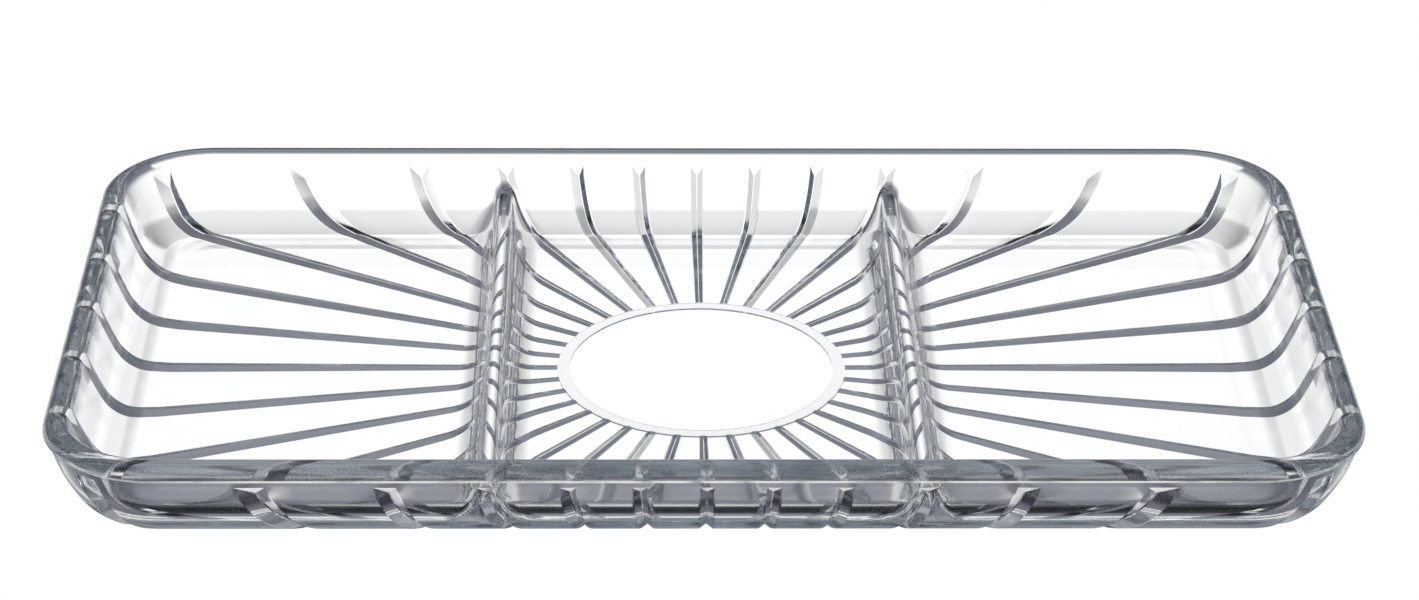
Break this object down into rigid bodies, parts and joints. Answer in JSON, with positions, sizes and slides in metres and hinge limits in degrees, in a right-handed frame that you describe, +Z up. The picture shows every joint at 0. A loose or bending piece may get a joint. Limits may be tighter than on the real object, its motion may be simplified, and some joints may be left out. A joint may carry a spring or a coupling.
{
  "type": "relish tray",
  "caption": "Long clear pressed-glass relish tray with rounded corners, dividers between its compartments and a sunburst of V grooves under the floor, for serving pickles, nuts and dips.",
  "frame": {"origin": "middle of the foot ring, on the surface that the tray stands on", "axes": "+X along the length, +Y towards the back long wall, +Z up"},
  "size_m": [0.305, 0.176, 0.024],
  "materials": {
    "clear_glass": "clear, fire polished",
    "frosted_glass": "fine stippled frost"
  },
  "bodies": {
    "root": {"floor_plate": "clear_glass", "foot_ring": "frosted_glass", "front_wall": "clear_glass", "back_wall": "clear_glass", "left_end_wall": "clear_glass", "right_end_wall": "clear_glass", "rim": "clear_glass", "left_divider": "clear_glass", "right_divider": "clear_glass"}
  },
  "joints": []
}
